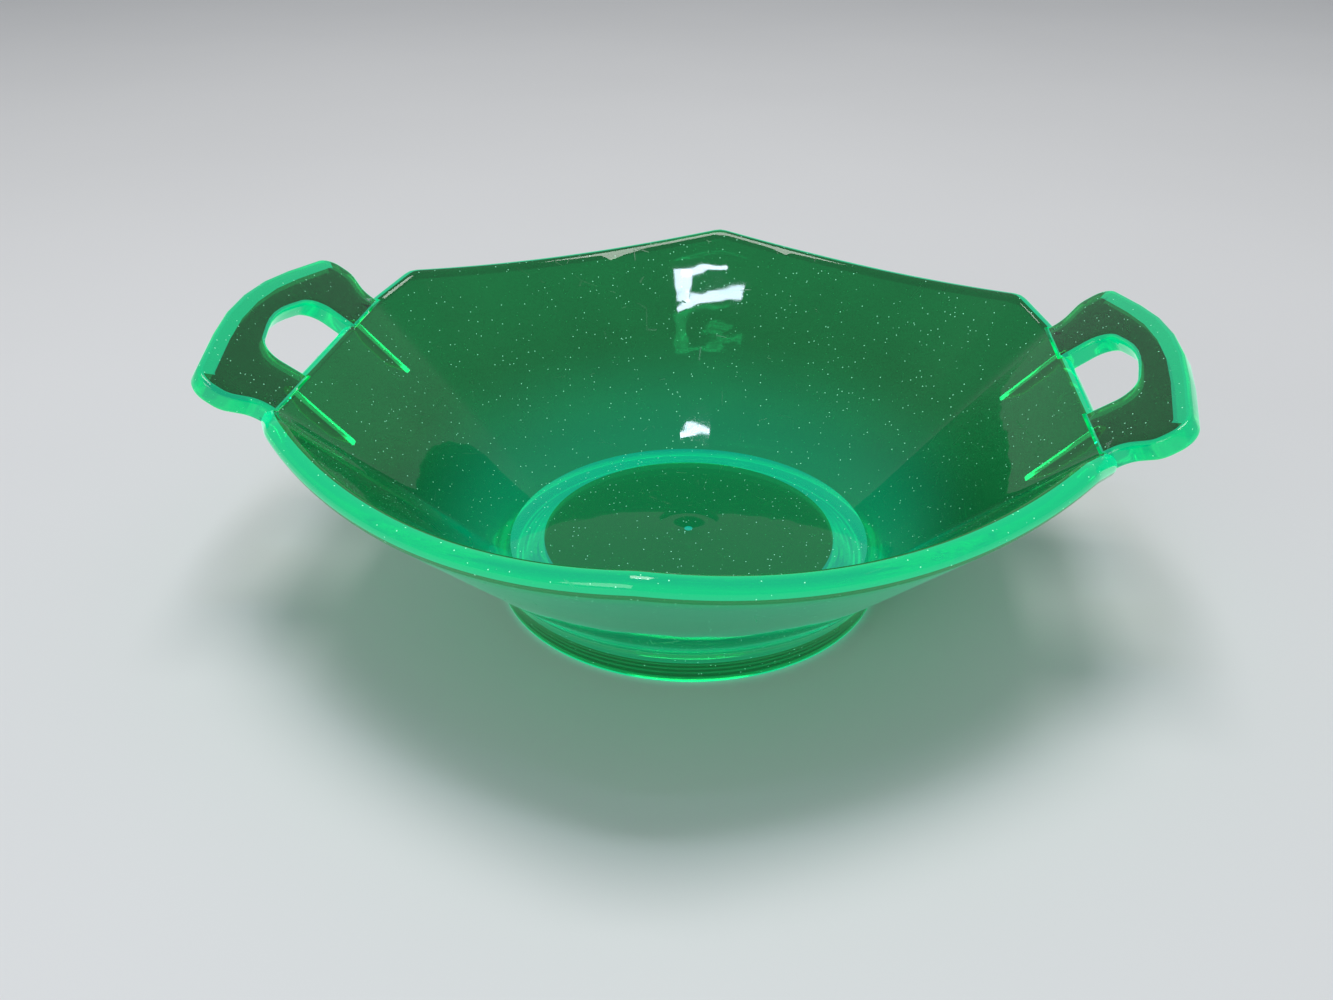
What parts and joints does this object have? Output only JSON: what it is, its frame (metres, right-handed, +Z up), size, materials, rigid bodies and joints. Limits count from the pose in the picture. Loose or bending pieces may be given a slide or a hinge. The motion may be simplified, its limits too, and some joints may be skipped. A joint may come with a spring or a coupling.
{
  "type": "two-handled footed glass bowl",
  "caption": "Low six-cornered pressed green uranium glass bowl on a round foot ring, with a flat open handle on each side and small ribs under the handles.",
  "frame": {"origin": "middle of the foot ring's resting face", "axes": "+Z up, +X towards the right handle, +Y towards the back rim corner"},
  "size_m": [0.2538, 0.2244, 0.0809],
  "materials": {
    "green_glass": "gloss"
  },
  "bodies": {
    "root": {"bowl_wall": "green_glass", "floor_disc": "green_glass", "foot_ring": "green_glass", "right_handle": "green_glass", "left_handle": "green_glass", "right_front_rib": "green_glass", "right_back_rib": "green_glass", "left_front_rib": "green_glass", "left_back_rib": "green_glass"}
  },
  "joints": []
}
